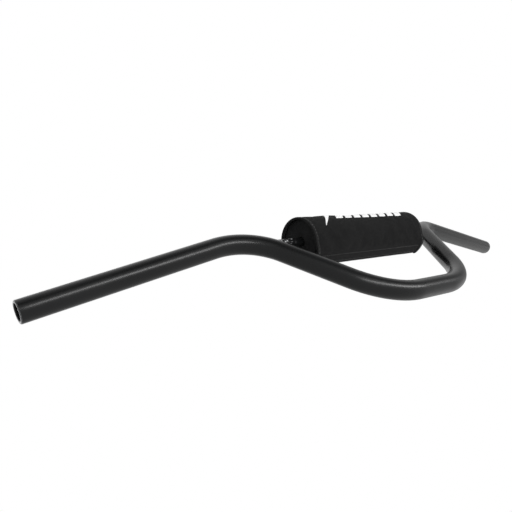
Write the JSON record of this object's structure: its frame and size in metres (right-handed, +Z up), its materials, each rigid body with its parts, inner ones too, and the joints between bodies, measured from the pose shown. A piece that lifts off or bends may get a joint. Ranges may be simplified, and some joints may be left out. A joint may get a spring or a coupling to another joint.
{
  "type": "motorcycle handlebar with crossbar pad",
  "caption": "Black high-rise motorcycle handlebar: bent tube, welded crossbar and a round foam pad in a wrap-around cloth cover.",
  "frame": {"origin": "middle of the straight clamp zone, on the tube's centre line", "axes": "+X to the rider's right along the clamp zone, +Y forward, +Z up along the rise; the grips sweep back towards -Y"},
  "size_m": [0.8084, 0.0928, 0.1644],
  "materials": {
    "bar_paint": "satin",
    "crossbar_paint": "satin",
    "weld_paint": "gloss",
    "foam": "matte",
    "cover_cloth": "matte",
    "tape": "matte",
    "hem_cloth": "matte",
    "thread": "satin",
    "print_white": "satin"
  },
  "bodies": {
    "frame": {"handlebar_tube": "bar_paint", "crossbar": "crossbar_paint", "weld_left": "weld_paint", "weld_right": "weld_paint"},
    "core": {"foam_core": "foam"},
    "cover": {"cover_sleeve": "cover_cloth", "loop_tape": "tape", "hook_tape": "tape", "hem_left": "hem_cloth", "hem_right": "hem_cloth", "hem_stitch_left": "thread", "hem_stitch_right": "thread", "flap_stitch": "thread", "cover_print": "print_white"}
  },
  "joints": [
    {"name": "pad_slide", "type": "slide", "parent": "frame", "child": "core", "axis": [1, 0, 0], "range_m": [-0.0075, 0.0175]},
    {"name": "cover_turn", "type": "hinge", "parent": "core", "child": "cover", "pos_m": [0, 0, 0.124], "axis": [1, 0, 0], "continuous": true}
  ]
}
